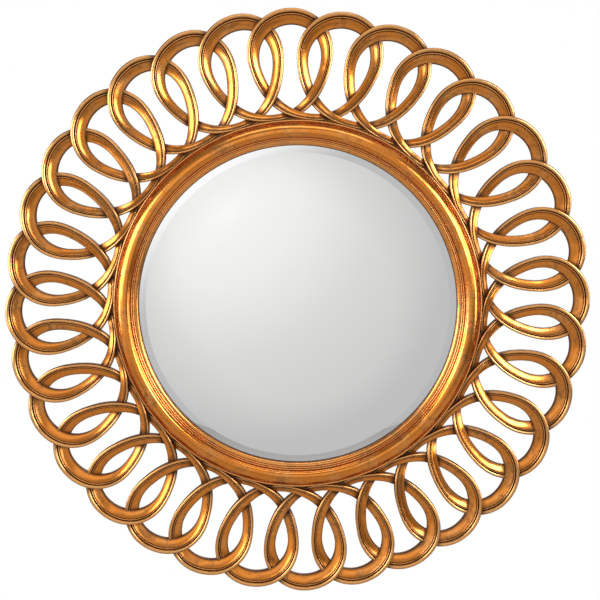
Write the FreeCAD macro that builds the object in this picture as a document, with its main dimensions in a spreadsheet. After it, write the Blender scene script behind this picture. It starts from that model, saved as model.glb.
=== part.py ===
import FreeCAD, Part
import bisect
import math
import os
import re
import Sketcher

# A round gilt wall mirror: a turned ring moulding holds a flat bevelled plate, and a fret of interlaced
# loops is glued round it. The frame is +Z up, +X to the right as seen from the front, and the front
# faces -Y. The origin is on the mirror's axis, in the plane of the wall that its pads rest on. "Depth"
# below means the distance forward of the frame's flat back. Lengths are in millimetres, angles in degrees.

SIZES = [
    # the fret: one strand makes each loop, and all the strands join end to end in one ribbon
    ("loop_count", 32, "loops in the fret"),
    ("first_loop_angle", -1.34, "first loop's crown, clockwise from the top"),
    ("loop_height", 150.5, "strand's centre line, from along the ring to a loop's crown"),
    ("root_offset", 5, "strand's centre line, from the ring's outer side where it lies along it"),
    ("loop_swing", 11.1, "how far a loop swings to each side"),
    ("loop_lean", 0.42, "how far a loop's legs lean anticlockwise of its crown, half way down"),
    ("root_dip", 12, "how far the centre line draws in towards the ring below a crossing"),
    ("crown_width", 24, "strand's width at the crown"),
    ("leg_width", 15.8, "strand's width half way down"),
    ("root_width", 9.8, "strand's width along the ring"),
    ("strand_depth", 15.5, "strand's front, where it passes nothing"),
    ("weave_rise", 2.5, "rise over a neighbour and dip under one"),
    ("bead_share", 0.34, "share of the strand's width that the raised bead takes"),
    ("bead_slope", 1.4, "fall of the bead to the strand's outer side"),
    ("face_fall", 4.2, "fall from the bead's top to the strand's inner side"),
    ("lap_turn", 11, "half the turn of the straight stretch that a lap joint lies in"),
    ("glue_gap", 0.15, "glue line in each lap and butt joint"),
    # the ring moulding
    ("flange_width", 9.5, "flange that the strands are glued on, round the moulding"),
    ("flange_thickness", 4, "flange under the strands"),
    ("fillet_width", 4, "small fillet at the moulding's outer edge"),
    ("fillet_depth", 19, "front of the fillet"),
    ("band_outer_slope", 14.5, "broad rolled band, from its crest outwards"),
    ("band_inner_slope", 7.8, "broad rolled band, from its crest inwards"),
    ("band_crest_depth", 30.19, "band's crest"),
    ("band_outer_depth", 20.5, "band's outer edge"),
    ("band_inner_depth", 21.8, "band's inner edge"),
    ("reed_width", 2.8, "each of the two reeds"),
    ("reed_fall", 1.4, "fall across one reed"),
    ("reed_step", 0.6, "step down to each reed and to the lip"),
    ("lip_width", 5.9, "sight lip, inside the reeds"),
    ("lip_fall", 2, "fall across the lip"),
    ("sight_cover", 7.8, "width of the plate that the lip covers"),
    # glass, packing and backing board, in the back of the ring
    ("glass_radius", 252.5, "edge of the plate"),
    ("glass_thickness", 5, "plate"),
    ("bevel_width", 19, "bevel ground round the plate"),
    ("bevel_drop", 2.4, "thickness lost at the bevel's edge"),
    ("glass_clearance", 1.5, "between the plate and its rebate"),
    ("seat_gap", 0.2, "between the bevel and the rebate's edge"),
    ("packing_thickness", 2, "soft sheet between the plate and the board"),
    ("packing_gap", 0.05, "between the sheet and what it lies on"),
    ("board_ledge", 12, "edge of the backing board, outside the plate's rebate"),
    ("board_thickness", 4, "backing board"),
    ("board_recess", 2, "board's back below the frame's back"),
    ("board_clearance", 1.5, "between the board and its rebate"),
    ("shelf_gap", 0.1, "between the board and the shelf it lies on"),
    # flat steel points, driven into the rebate's wall, that hold the board
    ("point_count", 12, "points round the board"),
    ("point_width", 9, "point"),
    ("point_thickness", 1, "point"),
    ("point_reach", 6, "part of a point that lies on the board"),
    ("point_bite", 7, "part of a point that is in the wood"),
    ("point_gap", 0.05, "round a point in its slot and on the board"),
    # strap hangers with D-shaped rings
    ("hanger_height", 70, "ring's hinge line above the axis"),
    ("strap_width", 12, "strap"),
    ("strap_length", 42, "hinge line to the strap's lower end"),
    ("strap_thickness", 1.2, "strap"),
    ("strap_corner", 3, "rounded lower corners"),
    ("strap_lift", 0.4, "curl's lowest line above the frame's back"),
    ("wire_radius", 1.25, "wire of the D-shaped ring"),
    ("hinge_clearance", 0.08, "round the wire in the strap's curl"),
    ("bow_runs", 6, "straight runs that the D's bow is bent in"),
    ("ring_half_width", 11.25, "wire's centre line, half its width"),
    ("ring_side", 4, "straight sides of the D"),
    ("upper_screw_drop", 24, "hinge line to the first screw"),
    ("lower_screw_drop", 36, "hinge line to the second screw"),
    ("screw_length", 14, "shank below the strap"),
    ("screw_shank_radius", 1.75, "shank"),
    ("screw_head_radius", 3.5, "head"),
    ("screw_head_height", 2.2, "head"),
    ("screw_clearance", 0.05, "round a shank in its pilot hole"),
    ("hole_clearance", 0.3, "round a shank in the strap"),
    ("head_gap", 0.05, "between a screw head and the strap"),
    # rubber pads that keep the hangers off the wall
    ("bumper_count", 4, "pads"),
    ("bumper_inset", 12.5, "pads' centres, outside the board's rebate"),
    ("bumper_angle", 45, "first pad"),
    ("bumper_radius", 8, "pad"),
    ("bumper_height", 6, "pad"),
    ("bumper_gap", 0.05, "glue under a pad"),
]

doc = FreeCAD.newDocument("LoopMirror")
sheet = doc.addObject("Spreadsheet::Sheet", "Sizes")
for row, (alias, number, meaning) in enumerate(SIZES, start=1):
    sheet.set(f"A{row}", meaning)
    sheet.set(f"B{row}", str(number))
    sheet.setAlias(f"B{row}", alias)
doc.recompute()

BACK = FreeCAD.Vector(0, 1, 0)


def size(alias):
    """A size from the sheet, as a number."""
    return float(sheet.get(alias))


def bound(formula):
    """The same formula with each of the sheet's names turned into a reference to the sheet."""
    return re.sub(r"[a-z]+(_[a-z]+)+", lambda name: "Sizes." + name.group(), formula)


def worked_out(formula):
    """The value of a formula of the sheet's names."""
    return float(sheet.evalExpression(formula))


# ---------------------------------------------------------------- sketches and bodies


def origin_part(body, role):
    """One of a body's own origin planes or axes."""
    return [feature for feature in body.Origin.OriginFeatures if feature.Role == role][0]


def place_on_wall(item):
    """Bring the frame's back plane to its distance from the wall, which the pads set."""
    item.setExpression("Placement.Base.y", "-Sizes.bumper_height")


def new_body(label, faces_front=True):
    """A body on the frame's back plane. One that faces the front is drawn with depth along its own +Y,
    and its placement turns it; the others are drawn with the wall at +Y."""
    body = doc.addObject("PartDesign::Body", label)
    body.Label = label
    if faces_front:
        body.Placement = FreeCAD.Placement(FreeCAD.Vector(), FreeCAD.Rotation(FreeCAD.Vector(0, 0, 1), 180))
    place_on_wall(body)
    return body


def new_sketch(body, label, role="XY_Plane"):
    sketch = body.newObject("Sketcher::SketchObject", label)
    sketch.AttachmentSupport = [(origin_part(body, role), "")]
    sketch.MapMode = "FlatFace"
    return sketch


def hold(sketch, kind, items, formula):
    """A driving constraint whose value is bound to the sheet."""
    index = sketch.addConstraint(Sketcher.Constraint(kind, *items, worked_out(formula)))
    sketch.setExpression(f"Constraints[{index}]", bound(formula))


def arc_between(start, end, radius, side):
    """The shorter arc from start to end. Side is 1 where it bulges to the left of that line, else -1."""
    chord = end - start
    left = FreeCAD.Vector(-chord.y, chord.x, 0).normalize()
    rise = radius - math.sqrt(radius ** 2 - (chord.Length / 2) ** 2)
    return Part.Arc(start, (start + end) * 0.5 + left * rise * side, end)


def draw_outline(sketch, corners, arcs=None):
    """A closed outline. Each corner is a pair of formulas. arcs gives a formula for the radius and a side
    for each stretch, by the number of its first corner, that isn't straight."""
    arcs = arcs or {}
    points = [FreeCAD.Vector(worked_out(x), worked_out(y), 0) for x, y in corners]
    edges = []
    first_ends = []
    for number, start in enumerate(points):
        end = points[(number + 1) % len(points)]
        if number in arcs:
            radius, side = arcs[number]
            geometry = arc_between(start, end, worked_out(radius), side)
        else:
            geometry = Part.LineSegment(start, end)
        edges.append(sketch.addGeometry(geometry))
        first_ends.append(1 if sketch.getPoint(edges[-1], 1).distanceToPoint(start) < 1e-6 else 2)
    for number, (x, y) in enumerate(corners):
        following = (number + 1) % len(corners)
        ends = (edges[number], 3 - first_ends[number], edges[following], first_ends[following])
        sketch.addConstraint(Sketcher.Constraint("Coincident", *ends))
        hold(sketch, "DistanceX", (-1, 1, edges[number], first_ends[number]), x)
        hold(sketch, "DistanceY", (-1, 1, edges[number], first_ends[number]), y)
        if number in arcs:
            hold(sketch, "Radius", (edges[number],), arcs[number][0])


def add_turning_line(sketch, x):
    """A construction line parallel to the sketch's own vertical axis, to turn a profile about."""
    across = worked_out(x)
    line = Part.LineSegment(FreeCAD.Vector(across, -1, 0), FreeCAD.Vector(across, 1, 0))
    index = sketch.addGeometry(line, True)
    sketch.addConstraint(Sketcher.Constraint("Vertical", index))
    hold(sketch, "DistanceX", (-1, 1, index, 1), x)
    hold(sketch, "DistanceY", (-1, 1, index, 1), "-1")
    hold(sketch, "DistanceY", (-1, 1, index, 2), "1")
    return "Axis0"


def turn(body, sketch, kind="PartDesign::Revolution", axis="V_Axis"):
    """A turned solid, or a turned cut where kind is PartDesign::Groove."""
    feature = body.newObject(kind, sketch.Label + "_turned")
    feature.Profile = sketch
    feature.ReferenceAxis = (sketch, [axis])
    feature.Angle = 360
    body.Tip = feature
    return feature


def repeat_round(body, feature, count):
    """The feature repeated round the mirror's axis."""
    pattern = body.newObject("PartDesign::PolarPattern", feature.Label + "_round")
    pattern.Originals = [feature]
    pattern.Axis = (origin_part(body, "Y_Axis"), [""])
    pattern.Angle = 360
    pattern.setExpression("Occurrences", bound(count))
    body.Tip = pattern
    return pattern


def drill(body, sketch, depth, through_middle=False):
    """A pocket of a bound depth, or of half that to each side of the sketch. It must cut something."""
    doc.recompute()
    before = body.Shape.Volume
    pocket = body.newObject("PartDesign::Pocket", sketch.Label + "_cut")
    pocket.Profile = sketch
    pocket.SideType = "Symmetric" if through_middle else "One side"
    pocket.setExpression("Length", bound(depth))
    body.Tip = pocket
    doc.recompute()
    if body.Shape.Volume >= before - 1e-3:
        raise RuntimeError(f"{sketch.Label} cuts nothing from {body.Label}")
    return pocket


def add_circle(sketch, x, y, radius):
    centre = FreeCAD.Vector(worked_out(x), worked_out(y), 0)
    index = sketch.addGeometry(Part.Circle(centre, FreeCAD.Vector(0, 0, 1), worked_out(radius)))
    hold(sketch, "DistanceX", (-1, 1, index, 3), x)
    hold(sketch, "DistanceY", (-1, 1, index, 3), y)
    hold(sketch, "Radius", (index,), radius)


# ---------------------------------------------------------------- places that several pieces share

REED_COUNT = 2

# radii, from the plate outwards
SIGHT = "glass_radius - sight_cover"
BAND_INNER = f"{SIGHT} + lip_width + {REED_COUNT} * reed_width"
CREST = f"{BAND_INNER} + band_inner_slope"
BAND_OUTER = f"{CREST} + band_outer_slope"
RING = f"{BAND_OUTER} + fillet_width"
FLANGE = f"{RING} + flange_width"
GLASS_REBATE = "glass_radius + glass_clearance"
BOARD = f"{GLASS_REBATE} + board_ledge"
BOARD_REBATE = f"{BOARD} + board_clearance"
BUMPER_CIRCLE = f"{BOARD_REBATE} + bumper_inset"
HANGER_OFFSET = f"({BOARD_REBATE} + strap_width / 2)"
ROOT = f"{RING} + root_offset"

# depths, from the frame's back forwards

BOARD_FRONT = "board_recess + board_thickness"
GLASS_BACK = f"{BOARD_FRONT} + packing_thickness"
GLASS_FRONT = f"{GLASS_BACK} + glass_thickness"
BEVEL_START = "glass_radius - bevel_width"
SEAT = f"{GLASS_FRONT} - bevel_drop * (bevel_width - sight_cover) / bevel_width + seat_gap"


# ---------------------------------------------------------------- the ring moulding


def level_arc(width, height):
    """Radius of the arc that starts level and falls by height over width."""
    return f"(({width}) ^ 2 + ({height}) ^ 2) / (2 * ({height}))"


def ring_profile():
    """Corners and arcs of the ring's section: round its back, forward over its front, and down to the
    rebates that hold the plate and the board."""
    outer_fall = "band_crest_depth - band_outer_depth"
    inner_fall = "band_crest_depth - band_inner_depth"
    corners = [
        (BOARD_REBATE, "0"),
        (FLANGE, "0"),
        (FLANGE, "flange_thickness"),
        (RING, "flange_thickness"),
        (RING, "fillet_depth"),
        (BAND_OUTER, "band_outer_depth"),
        (CREST, "band_crest_depth"),
        (BAND_INNER, "band_inner_depth"),
    ]
    arcs = {
        len(corners) - 3: (level_arc("band_outer_slope", outer_fall), -1),
        len(corners) - 2: (level_arc("band_inner_slope", inner_fall), -1),
    }
    for reed in range(REED_COUNT):
        top = f"band_inner_depth - reed_step - {reed} * (reed_fall + reed_step)"
        corners.append((f"{BAND_INNER} - {reed} * reed_width", top))
        corners.append((f"{BAND_INNER} - {reed + 1} * reed_width", f"{top} - reed_fall"))
    lip = f"band_inner_depth - reed_step - {REED_COUNT} * (reed_fall + reed_step)"
    corners += [
        (f"{BAND_INNER} - {REED_COUNT} * reed_width", lip),
        (SIGHT, f"{lip} - lip_fall"),
        (SIGHT, SEAT),
        (GLASS_REBATE, SEAT),
        (GLASS_REBATE, f"{BOARD_FRONT} + shelf_gap"),
        (BOARD_REBATE, f"{BOARD_FRONT} + shelf_gap"),
    ]
    return corners, arcs


def make_ring():
    """The turned ring, with slots for the points and pilot holes for the hangers' screws."""
    body = new_body("ring_moulding")
    section = new_sketch(body, "ring_section")
    draw_outline(section, *ring_profile())
    turn(body, section)

    slot = new_sketch(body, "point_slot")
    draw_outline(slot, point_outline("point_gap"))
    cut = drill(body, slot, "point_width + 2 * point_gap", through_middle=True)
    repeat_round(body, cut, "point_count")

    pilots = new_sketch(body, "hanger_pilots", "XZ_Plane")
    for side in ("", "-"):
        for drop in ("upper_screw_drop", "lower_screw_drop"):
            bore = "screw_shank_radius + screw_clearance"
            add_circle(pilots, side + HANGER_OFFSET, f"hanger_height - {drop}", bore)
    drill(body, pilots, "screw_length + screw_clearance")
    return body


# ---------------------------------------------------------------- plate, packing, board and points


def make_glass():
    """The plate: flat, with a bevel ground round its front edge."""
    body = new_body("mirror_glass")
    section = new_sketch(body, "glass_section")
    corners = [
        ("0", GLASS_BACK),
        ("glass_radius", GLASS_BACK),
        ("glass_radius", f"{GLASS_FRONT} - bevel_drop"),
        (BEVEL_START, GLASS_FRONT),
        ("0", GLASS_FRONT),
    ]
    draw_outline(section, corners)
    turn(body, section)
    return body


def make_packing():
    """The soft sheet that the board presses on the plate's silvered back."""
    body = new_body("glass_packing")
    section = new_sketch(body, "packing_section")
    back = f"{BOARD_FRONT} + packing_gap"
    front = f"{GLASS_BACK} - packing_gap"
    draw_outline(section, [("0", back), ("glass_radius", back), ("glass_radius", front), ("0", front)])
    turn(body, section)
    return body


def make_board():
    """The round board behind the plate."""
    body = new_body("backing_board")
    section = new_sketch(body, "board_section")
    corners = [
        ("0", "board_recess"),
        (BOARD, "board_recess"),
        (BOARD, BOARD_FRONT),
        ("0", BOARD_FRONT),
    ]
    draw_outline(section, corners)
    turn(body, section)
    return body


def point_outline(gap="0"):
    """A point seen from its side, with a gap round what is in the wood. Its front lies on the board."""
    inner = f"{BOARD_REBATE} - point_reach - {gap}"
    outer = f"{BOARD_REBATE} + point_bite + {gap}"
    front = f"board_recess - point_gap + {gap}"
    back = f"board_recess - point_gap - point_thickness - {gap}"
    return [(inner, back), (outer, back), (outer, front), (inner, front)]


def make_points():
    """Flat steel points, as one group of separate solids."""
    body = new_body("board_points")
    outline = new_sketch(body, "point_outline")
    draw_outline(outline, point_outline())
    point = body.newObject("PartDesign::Pad", "point")
    point.Profile = outline
    point.SideType = "Symmetric"
    point.setExpression("Length", bound("point_width"))
    repeat_round(body, point, "point_count")
    return body


# ---------------------------------------------------------------- hangers and pads

CURL_BORE = "wire_radius + hinge_clearance"
CURL_RADIUS = f"{CURL_BORE} + strap_thickness"
HINGE_BACK = f"strap_lift + {CURL_RADIUS}"


def hang(body, side):
    """Put a hanger's piece at the hinge line. Its own frame has the hinge along X and the wall at +Y."""
    body.setExpression("Placement.Base.x", f"{side} * {bound(HANGER_OFFSET)}")
    body.setExpression("Placement.Base.z", "Sizes.hanger_height")


def repeat_up_and_down(body, feature):
    """The feature repeated at the strap's lower screw hole."""
    pattern = body.newObject("PartDesign::LinearPattern", feature.Label + "_pair")
    pattern.Originals = [feature]
    pattern.Direction = (origin_part(body, "Z_Axis"), [""])
    pattern.Reversed = True
    pattern.Occurrences = 2
    pattern.setExpression("Length", bound("lower_screw_drop - upper_screw_drop"))
    body.Tip = pattern


def make_strap(name, side):
    """A strap with a curl for the wire at its upper end and two screw holes."""
    body = new_body(f"hanger_strap_{name}", faces_front=False)
    plate = new_sketch(body, f"strap_plate_{name}", "XZ_Plane")
    low = "-strap_length"
    half = "strap_width / 2"
    corners = [
        (f"-{half}", "0"),
        (f"-{half}", f"{low} + strap_corner"),
        (f"-{half} + strap_corner", low),
        (f"{half} - strap_corner", low),
        (half, f"{low} + strap_corner"),
        (half, "0"),
    ]
    draw_outline(plate, corners)
    for drop in ("upper_screw_drop", "lower_screw_drop"):
        add_circle(plate, "0", f"-{drop}", "screw_shank_radius + hole_clearance")
    pad = body.newObject("PartDesign::Pad", f"strap_pad_{name}")
    pad.Profile = plate
    pad.Reversed = True
    pad.setExpression("Length", bound("strap_thickness"))

    curl = new_sketch(body, f"strap_curl_{name}", "YZ_Plane")
    add_circle(curl, HINGE_BACK, "0", CURL_RADIUS)
    knuckle = body.newObject("PartDesign::Pad", f"curl_pad_{name}")
    knuckle.Profile = curl
    knuckle.SideType = "Symmetric"
    knuckle.setExpression("Length", bound("strap_width"))
    body.Tip = knuckle

    bore = new_sketch(body, f"curl_bore_{name}", "YZ_Plane")
    add_circle(bore, HINGE_BACK, "0", CURL_BORE)
    drill(body, bore, "strap_width * 2", through_middle=True)
    hang(body, side)
    return body


def bow_corners():
    """Corners of the D's wire: its bar's two ends, its sides and a half round bow in straight runs."""
    runs = int(size("bow_runs"))
    corners = [("-ring_half_width", "0")]
    for number in range(runs + 1):
        turned = f"{number} * 180 deg / bow_runs"
        corners.append((f"-ring_half_width * cos({turned})", f"-ring_side - ring_half_width * sin({turned})"))
    corners.append(("ring_half_width", "0"))
    return corners


def make_hanger_ring(name, side):
    """The D-shaped wire ring: a straight bar through the curl, two short sides and a bow."""
    body = new_body(f"hanger_ring_{name}", faces_front=False)
    path = new_sketch(body, f"ring_path_{name}", "XZ_Plane")
    draw_outline(path, bow_corners())
    path.setExpression("AttachmentOffset.Base.z", f"-({bound(HINGE_BACK)})")

    wire = new_sketch(body, f"ring_wire_{name}", "YZ_Plane")
    add_circle(wire, HINGE_BACK, "0", "wire_radius")
    pipe = body.newObject("PartDesign::AdditivePipe", f"ring_pipe_{name}")
    pipe.Profile = wire
    pipe.Spine = path
    pipe.Transition = "Right corner"
    body.Tip = pipe
    hang(body, side)
    return body


def make_hanger_screws(name, side):
    """Two round-headed screws that hold a strap."""
    body = new_body(f"hanger_screws_{name}", faces_front=False)
    section = new_sketch(body, f"screw_section_{name}")
    seat = "strap_thickness + head_gap"
    axis = add_turning_line(section, "0")
    corners = [
        ("0", "-screw_length"),
        ("screw_shank_radius", "-screw_length"),
        ("screw_shank_radius", seat),
        ("screw_head_radius", seat),
        ("screw_head_radius / 2", f"{seat} + screw_head_height"),
        ("0", f"{seat} + screw_head_height"),
    ]
    draw_outline(section, corners)
    section.setExpression("AttachmentOffset.Base.z", bound("-upper_screw_drop"))
    repeat_up_and_down(body, turn(body, section, axis=axis))
    hang(body, side)
    return body


def make_bumpers():
    """Rubber pads glued to the frame's back. Their backs lie on the wall."""
    body = new_body("wall_bumpers", faces_front=False)
    section = new_sketch(body, "bumper_section")
    axis = add_turning_line(section, BUMPER_CIRCLE)
    edge = f"{BUMPER_CIRCLE} + bumper_radius"
    corners = [
        (BUMPER_CIRCLE, "bumper_gap"),
        (edge, "bumper_gap"),
        (edge, "bumper_height"),
        (BUMPER_CIRCLE, "bumper_height"),
    ]
    draw_outline(section, corners)
    pad = turn(body, section, axis=axis)
    repeat_round(body, pad, "bumper_count")
    body.Placement = FreeCAD.Placement(FreeCAD.Vector(), FreeCAD.Rotation(BACK, 1))
    body.setExpression("Placement.Rotation.Angle", bound("bumper_angle"))
    return body


# ---------------------------------------------------------------- the fret
#
# The strand's centre line is a prolate trochoid wrapped round the ring. With the turn t running from
# -180 to 180 degrees along one loop, the angle round the mirror is swing * sin(t) - pitch * t / 360,
# less a lean of sin(t) squared. The radius is a mean plus half the loop's height times cos(t), less a
# dip in the lower half. At t = 0 it is at the crown. Its left leg is t < 0 and its right leg is t > 0,
# and at both ends it lies along the ring, half a pitch past the loop's own axis, where the next loop's
# strand takes over.

PITCH = 2 * math.pi / size("loop_count")
SWING = math.radians(size("loop_swing"))
LEAN = math.radians(size("loop_lean"))
ROOT_RADIUS = worked_out(ROOT)
HALF_HEIGHT = size("loop_height") / 2
MEAN_RADIUS = ROOT_RADIUS + HALF_HEIGHT
FRONT = size("strand_depth") + size("weave_rise")
LAP_DEPTH = FRONT / 2
HALF_GAP = size("glue_gap") / 2
BEYOND = 5.0
STEP = 1e-5


def upright_angle(turned):
    """Angle round the mirror, from the loop's own axis, clockwise, before the lean. Both legs lean the
    same way, so this alone says where strands cross."""
    return SWING * math.sin(turned) - PITCH * turned / (2 * math.pi)


def strand_angle(turned):
    return upright_angle(turned) - LEAN * math.sin(turned) ** 2


def strand_radius(turned):
    dip = math.sin(turned) ** 2 * max(-math.cos(turned), 0)
    return MEAN_RADIUS + HALF_HEIGHT * math.cos(turned) - size("root_dip") * dip


def root_between(function, low, high):
    """Where a function that changes sign between low and high is zero."""
    for _ in range(60):
        middle = (low + high) / 2
        if function(low) * function(middle) <= 0:
            high = middle
        else:
            low = middle
    return (low + high) / 2


WIDEST = math.acos(PITCH / (2 * math.pi * SWING))
SELF_CROSSING = root_between(upright_angle, WIDEST, math.pi)
OUTER_CROSSING = root_between(lambda turned: upright_angle(turned) - PITCH / 2, 0, WIDEST)
INNER_CROSSING = root_between(lambda turned: upright_angle(turned) - PITCH / 2, WIDEST, SELF_CROSSING)
ROOT_SPEED = ROOT_RADIUS * (SWING + PITCH / (2 * math.pi))
STRAND_END = math.pi - HALF_GAP / ROOT_SPEED

# A strand is made of straight stretches. Each crossing lies inside one stretch, so its lap is cut square.
LAP_TURN = math.radians(size("lap_turn"))
STATIONS = [
    0.0,
    (OUTER_CROSSING - LAP_TURN) / 2,
    OUTER_CROSSING - LAP_TURN,
    OUTER_CROSSING + LAP_TURN,
    (OUTER_CROSSING + INNER_CROSSING) / 2,
    INNER_CROSSING - LAP_TURN,
    (INNER_CROSSING + SELF_CROSSING) / 2,
    SELF_CROSSING + LAP_TURN,
    STRAND_END,
]


def weave(turned):
    """1 where the strand passes over another, -1 where it passes under, and smooth between.
    The right leg goes under, over, under; the left leg is its opposite."""
    knots = [(0, 0), (OUTER_CROSSING, -1), (INNER_CROSSING, 1), (SELF_CROSSING, -1), (math.pi, 0)]
    side = 1 if turned >= 0 else -1
    for (start, low), (end, high) in zip(knots, knots[1:]):
        if start <= abs(turned) <= end:
            share = (1 - math.cos(math.pi * (abs(turned) - start) / (end - start))) / 2
            return side * (low + (high - low) * share)
    return 0


def strand_width(turned):
    """Widest at the crown, even down the legs, and narrow along the ring."""
    rise = max(math.cos(turned), 0) ** 1.2
    fall = max(-math.cos(turned), 0) ** 3
    leg = size("leg_width")
    return leg + (size("crown_width") - leg) * rise - (leg - size("root_width")) * fall


def centre_point(turned):
    """A point of the strand's centre line in plan."""
    angle = strand_angle(turned)
    return FreeCAD.Vector(math.sin(angle), 0, math.cos(angle)) * strand_radius(turned)


def strand_run(turned):
    """The direction that the strand runs in, in plan: clockwise over the crown."""
    return (centre_point(turned + STEP) - centre_point(turned - STEP)).normalize()


def plan_point(turned, outwards):
    """A point of the strand in plan, at a distance outwards from its centre line."""
    run = strand_run(turned)
    return centre_point(turned) + FreeCAD.Vector(-run.z, 0, run.x) * outwards


def strand_section(turned):
    """The closed section: a raised bead along the loop's outer side, and a face that falls inwards."""
    width = strand_width(turned)
    front = size("strand_depth") + size("weave_rise") * weave(turned)
    corners = [
        (0, 0),
        (0, front - size("bead_slope")),
        (size("bead_share"), front),
        (1, front - size("face_fall")),
        (1, 0),
    ]
    points = [plan_point(turned, width * (0.5 - share)) - BACK * depth for share, depth in corners]
    return Part.makePolygon(points + points[:1])


def half_strand(side):
    """The strand from the crown down to its end. Side is -1 for the left leg and 1 for the right one."""
    sections = [strand_section(side * turned) for turned in STATIONS]
    return Part.makeLoft(sections, True, True)


def edge_point(side, turned, outwards):
    """A point of the strand's straight-sided outline, a glue line outside its edge."""
    number = min(bisect.bisect_right(STATIONS, turned), len(STATIONS) - 1) - 1
    share = (turned - STATIONS[number]) / (STATIONS[number + 1] - STATIONS[number])
    ends = [
        plan_point(side * station, outwards * (strand_width(station) / 2 + 2 * HALF_GAP))
        for station in STATIONS[number:number + 2]
    ]
    return ends[0] * (1 - share) + ends[1] * share


def lap_cutter(side, start, end, low, high, turned_by=0.0):
    """The space that one leg takes between two turns, from one depth to another. turned_by moves it
    round the mirror, to a neighbour's place."""
    turns = [start] + [station for station in STATIONS if start < station < end] + [end]
    outline = [edge_point(side, turned, 1) for turned in turns]
    outline += [edge_point(side, turned, -1) for turned in reversed(turns)]
    face = Part.Face(Part.makePolygon(outline + outline[:1]))
    face.translate(BACK * -low)
    cutter = face.extrude(BACK * (low - high))
    cutter.rotate(FreeCAD.Vector(), BACK, math.degrees(turned_by))
    return cutter


def make_strand():
    """One loop's strand. At each crossing the leg that passes over has its back half cut away, and the
    one that passes under its front half, as a halved lap joint with a glue line all round."""
    outer_end = (OUTER_CROSSING + INNER_CROSSING) / 2
    inner_end = (INNER_CROSSING + SELF_CROSSING) / 2
    crossings = [
        (0.0, outer_end, -1, PITCH),
        (outer_end, inner_end, 1, PITCH),
        (inner_end, STRAND_END, -1, 0.0),
    ]
    halves = []
    for side in (-1, 1):
        half = half_strand(side)
        for start, end, right_leg_passes, neighbour in crossings:
            if right_leg_passes * side > 0:
                low, high = -BEYOND, LAP_DEPTH + HALF_GAP
            else:
                low, high = LAP_DEPTH - HALF_GAP, FRONT + BEYOND
            half = half.cut(lap_cutter(-side, start, end, low, high, side * neighbour))
        halves.append(half)
    strand = halves[0].fuse(halves[1]).removeSplitter()
    strand = strand.cut(ring_space())
    return strand.Solids[0] if len(strand.Solids) == 1 else strand


def ring_space():
    """The room that the ring takes out of the strands: its flange below them and its body inside them."""
    gap = size("glue_gap")
    flange = Part.makeCylinder(
        worked_out(FLANGE) + gap,
        size("flange_thickness") + gap + BEYOND,
        BACK * BEYOND,
        BACK * -1,
    )
    body = Part.makeCylinder(worked_out(RING) + gap, FRONT + 2 * BEYOND, BACK * BEYOND, BACK * -1)
    return flange.fuse(body)


def make_loops():
    """The strands, each in its own place round the ring."""
    strand = make_strand()
    loops = []
    for number in range(int(size("loop_count"))):
        loop = doc.addObject("Part::Feature", f"loop_{number + 1:02d}")
        loop.Label = loop.Name
        loop.Shape = strand
        loop.Placement = FreeCAD.Placement(FreeCAD.Vector(), FreeCAD.Rotation(BACK, 1))
        place_on_wall(loop)
        loop.setExpression(
            "Placement.Rotation.Angle", f"Sizes.first_loop_angle + {number} * 360 / Sizes.loop_count"
        )
        loops.append(loop)
    return loops


# ---------------------------------------------------------------- everything


def main():
    pieces = [make_ring(), make_glass(), make_packing(), make_board(), make_points(), make_bumpers()]
    for name, side in (("left", -1), ("right", 1)):
        pieces += [make_strap(name, side), make_hanger_ring(name, side), make_hanger_screws(name, side)]
    pieces += make_loops()
    doc.recompute()

    failed = [item.Label for item in doc.Objects if "Invalid" in item.State or "Error" in item.State]
    if failed:
        raise RuntimeError(f"these failed: {failed}")
    for piece in pieces:
        if piece.Shape.isNull() or not piece.Shape.isValid() or not piece.Shape.Solids:
            raise RuntimeError(f"{piece.Label} has no sound solid")

    os.makedirs("parts", exist_ok=True)
    for piece in pieces:
        piece.Shape.exportStep(f"parts/{piece.Label}.step")
        print(piece.Label, len(piece.Shape.Solids), round(piece.Shape.Volume, 1))


main()
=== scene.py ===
"""A round gilt wall mirror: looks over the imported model.

A turned ring holds a flat bevelled plate, and a fret of 32 interlaced loops runs round it.
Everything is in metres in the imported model's frame: the wall is the plane y = 0, the front
faces -Y, +Z is up, and the frame's flat back lies 6 mm in front of the wall. Plans are worked
out in millimetres, with "depth" the distance forward of that flat back.
"""
import logging
import math
from dataclasses import dataclass, field
from enum import Enum
from typing import Any, Sequence, Union

import bpy
import numpy as np
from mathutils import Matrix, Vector


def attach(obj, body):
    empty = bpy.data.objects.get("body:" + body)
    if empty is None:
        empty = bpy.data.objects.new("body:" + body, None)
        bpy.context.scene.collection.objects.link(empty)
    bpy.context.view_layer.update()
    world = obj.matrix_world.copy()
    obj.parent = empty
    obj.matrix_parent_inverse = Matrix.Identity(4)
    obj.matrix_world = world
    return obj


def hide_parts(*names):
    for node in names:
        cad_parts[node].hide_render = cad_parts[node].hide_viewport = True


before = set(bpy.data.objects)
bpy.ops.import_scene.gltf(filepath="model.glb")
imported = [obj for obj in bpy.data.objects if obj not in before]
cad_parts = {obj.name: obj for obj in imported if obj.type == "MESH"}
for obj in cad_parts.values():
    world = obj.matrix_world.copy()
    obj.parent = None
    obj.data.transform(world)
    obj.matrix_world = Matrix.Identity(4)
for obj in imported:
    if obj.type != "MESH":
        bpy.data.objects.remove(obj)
LOG = logging.getLogger("loop_mirror")
BACK_Y = -6.0
Array = np.ndarray
Colour = tuple[float, float, float]
WHITE: Colour = (1.0, 1.0, 1.0)
BLACK: Colour = (0.0, 0.0, 0.0)


# ---------------------------------------------------------------- surfaces

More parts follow.
